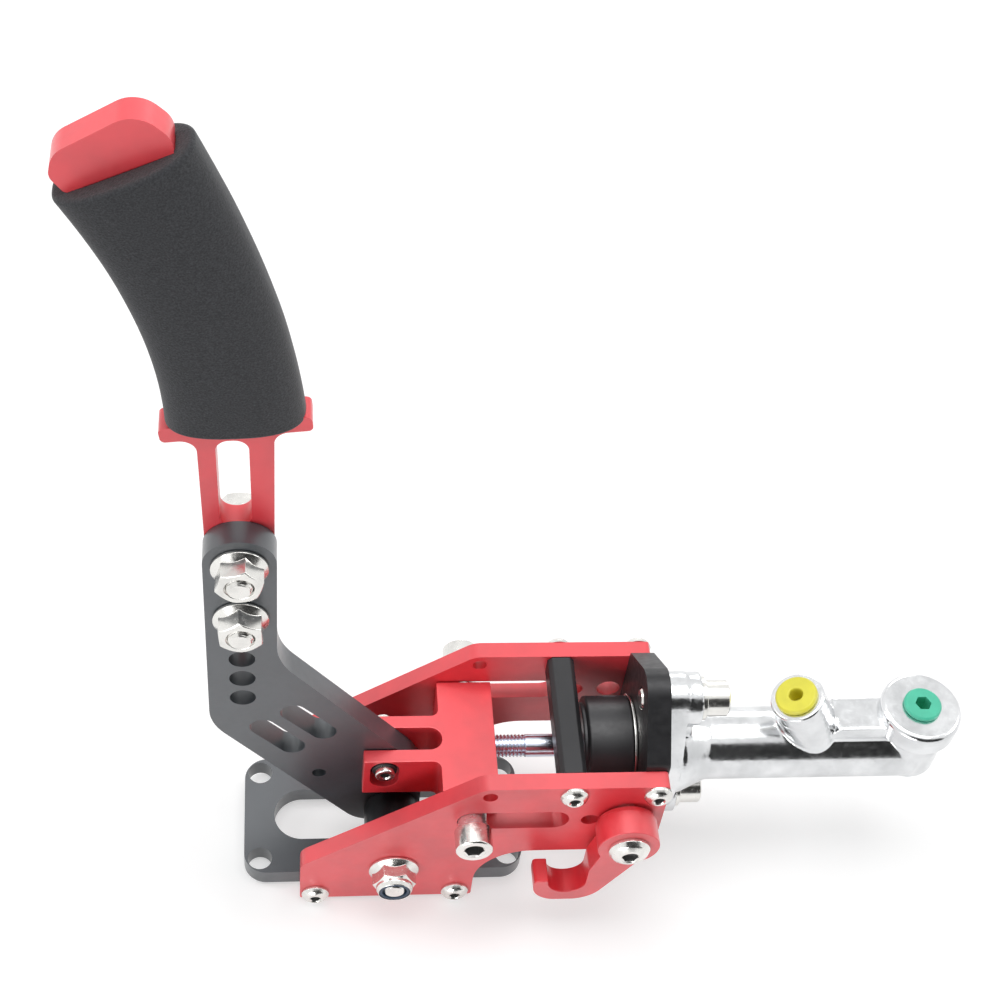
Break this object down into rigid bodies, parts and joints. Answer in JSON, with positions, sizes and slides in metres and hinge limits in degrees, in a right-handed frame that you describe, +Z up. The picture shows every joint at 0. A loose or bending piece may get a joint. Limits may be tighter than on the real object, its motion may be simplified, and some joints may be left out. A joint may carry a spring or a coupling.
{
  "type": "hydraulic handbrake lever",
  "caption": "Upright pull lever with foam grip between two side plates, pushing a crosshead and rod into a horizontal master cylinder, with a swing hook that locks it.",
  "frame": {"origin": "middle of the base plate's underside, where it is bolted to the car", "axes": "+X from the lever towards the master cylinder, +Z up, -Y the side that carries the lock hook"},
  "size_m": [0.2877, 0.0849, 0.3149],
  "materials": {
    "base_plate": "black anodised, satin",
    "side_plate_near": "red anodised, satin",
    "side_plate_far": "red anodised, satin",
    "cross_bar": "black anodised",
    "bulkhead": "black anodised",
    "foot_screw_left_near": "bright zinc",
    "foot_screw_left_far": "bright zinc",
    "foot_screw_right_near": "bright zinc",
    "foot_screw_right_far": "bright zinc",
    "bar_screw_near": "bright zinc",
    "bar_screw_far": "bright zinc",
    "bulkhead_screw_near": "bright zinc",
    "bulkhead_screw_far": "bright zinc",
    "pivot_bolt": "bright zinc",
    "pivot_nut": "bright zinc",
    "pivot_nut_ring": "dark blue nylon",
    "pivot_spacer_near": "turned",
    "pivot_spacer_far": "turned",
    "master_cylinder": "polished casting",
    "inlet_plug": "yellow transit plug",
    "outlet_plug": "green transit plug",
    "flange_screw_top": "bright zinc",
    "flange_screw_low": "bright zinc",
    "flange_washer_top": "bright zinc",
    "flange_washer_low": "bright zinc",
    "dust_boot": "moulded",
    "boot_ring": "bright",
    "return_spring": "drawn wire",
    "hook_screw": "bright zinc",
    "hook_washer": "bright zinc",
    "lever_arm": "black anodised, satin",
    "lever_stem": "red anodised, satin",
    "foam_grip": "closed-cell foam",
    "pivot_bush": "plain bronze bush",
    "stem_bolt_top": "bright zinc",
    "stem_bolt_low": "bright zinc",
    "stem_nut_top": "bright zinc",
    "stem_nut_low": "bright zinc",
    "link_pin": "bright zinc",
    "link_roller_near": "black",
    "link_roller_far": "black",
    "yoke_block": "red anodised, satin",
    "guide_screw_near": "bright zinc",
    "guide_screw_far": "bright zinc",
    "guide_roller_near": "black oxide",
    "guide_roller_far": "black oxide",
    "pushrod": "zinc plated, threaded",
    "piston": "turned",
    "piston_seal": "black",
    "lock_hook": "red anodised, satin"
  },
  "bodies": {
    "base_frame": {"base_plate": "base_plate", "side_plate_near": "side_plate_near", "side_plate_far": "side_plate_far", "cross_bar": "cross_bar", "bulkhead": "bulkhead", "foot_screw_left_near": "foot_screw_left_near", "foot_screw_left_far": "foot_screw_left_far", "foot_screw_right_near": "foot_screw_right_near", "foot_screw_right_far": "foot_screw_right_far", "bar_screw_near": "bar_screw_near", "bar_screw_far": "bar_screw_far", "bulkhead_screw_near": "bulkhead_screw_near", "bulkhead_screw_far": "bulkhead_screw_far", "pivot_bolt": "pivot_bolt", "pivot_nut": "pivot_nut", "pivot_nut_ring": "pivot_nut_ring", "pivot_spacer_near": "pivot_spacer_near", "pivot_spacer_far": "pivot_spacer_far", "master_cylinder": "master_cylinder", "inlet_plug": "inlet_plug", "outlet_plug": "outlet_plug", "flange_screw_top": "flange_screw_top", "flange_screw_low": "flange_screw_low", "flange_washer_top": "flange_washer_top", "flange_washer_low": "flange_washer_low", "dust_boot": "dust_boot", "boot_ring": "boot_ring", "return_spring": "return_spring", "hook_screw": "hook_screw", "hook_washer": "hook_washer"},
    "lever": {"lever_arm": "lever_arm", "lever_stem": "lever_stem", "foam_grip": "foam_grip", "pivot_bush": "pivot_bush", "stem_bolt_top": "stem_bolt_top", "stem_bolt_low": "stem_bolt_low", "stem_nut_top": "stem_nut_top", "stem_nut_low": "stem_nut_low", "link_pin": "link_pin", "link_roller_near": "link_roller_near", "link_roller_far": "link_roller_far"},
    "crosshead": {"yoke_block": "yoke_block", "guide_screw_near": "guide_screw_near", "guide_screw_far": "guide_screw_far", "guide_roller_near": "guide_roller_near", "guide_roller_far": "guide_roller_far", "pushrod": "pushrod", "piston": "piston", "piston_seal": "piston_seal"},
    "hook": {"lock_hook": "lock_hook"}
  },
  "joints": [
    {"name": "lever_pivot", "type": "hinge", "parent": "base_frame", "child": "lever", "pos_m": [0.0023, 0, 0.0194], "axis": [0, 1, 0], "range_deg": [0, 43], "stiffness_Nm_per_rad": 2.6, "springref_deg": -22.92},
    {"name": "crosshead_slide", "type": "slide", "parent": "base_frame", "child": "crosshead", "axis": [1, 0, 0], "range_m": [0, 0.0225]},
    {"name": "hook_pivot", "type": "hinge", "parent": "base_frame", "child": "hook", "pos_m": [0.0786, -0.0361, 0.0505], "axis": [0, 1, 0], "range_deg": [-37, 51.5]}
  ],
  "couplings": [
    {"joint": "crosshead_slide", "follows": "lever_pivot", "m_per_rad": 0.02998}
  ]
}
